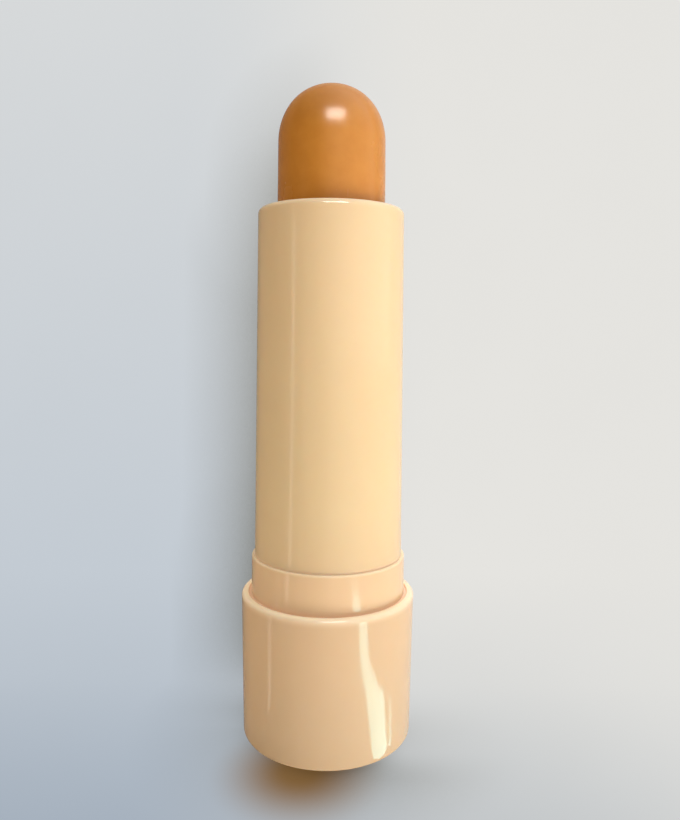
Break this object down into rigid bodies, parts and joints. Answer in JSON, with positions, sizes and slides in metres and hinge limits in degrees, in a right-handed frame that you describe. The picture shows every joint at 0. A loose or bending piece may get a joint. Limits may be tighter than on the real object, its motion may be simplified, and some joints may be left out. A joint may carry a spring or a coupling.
{
  "type": "concealer stick",
  "caption": "Twist-up concealer stick without its cap: a round base with a collar, a slim outer tube that turns on it, and a domed bullet that a hidden spiral raises and lowers.",
  "frame": {"origin": "centre of the base's flat foot", "axes": "+Z along the stick from the base to the bullet; the stick is round about Z, and the carrier's two lugs point along +X and -X"},
  "size_m": [0.0194, 0.0194, 0.0725],
  "materials": {
    "base_plastic": "glossy moulded, peach",
    "collar_plastic": "glossy moulded, peach",
    "sleeve_plastic": "plain moulded, natural white",
    "tube_plastic": "satin gloss, cream",
    "cup_plastic": "plain moulded, white",
    "concealer": "soft satin wax, orange-tan"
  },
  "bodies": {
    "base": {"base_cup": "base_plastic", "guide_tube": "collar_plastic"},
    "shell": {"outer_tube": "tube_plastic", "spiral_sleeve": "sleeve_plastic"},
    "carrier": {"carrier_cup": "cup_plastic", "concealer_bullet": "concealer"}
  },
  "joints": [
    {"name": "shell_turn", "type": "hinge", "parent": "base", "child": "shell", "pos_m": [0, 0, 0.0196], "axis": [0, 0, -1], "range_deg": [-411, 308.9]},
    {"name": "bullet_rise", "type": "slide", "parent": "base", "child": "carrier", "axis": [0, 0, 1], "range_m": [-0.0153, 0.0115]}
  ],
  "couplings": [
    {"joint": "bullet_rise", "follows": "shell_turn", "m_per_rad": 0.0021327}
  ]
}
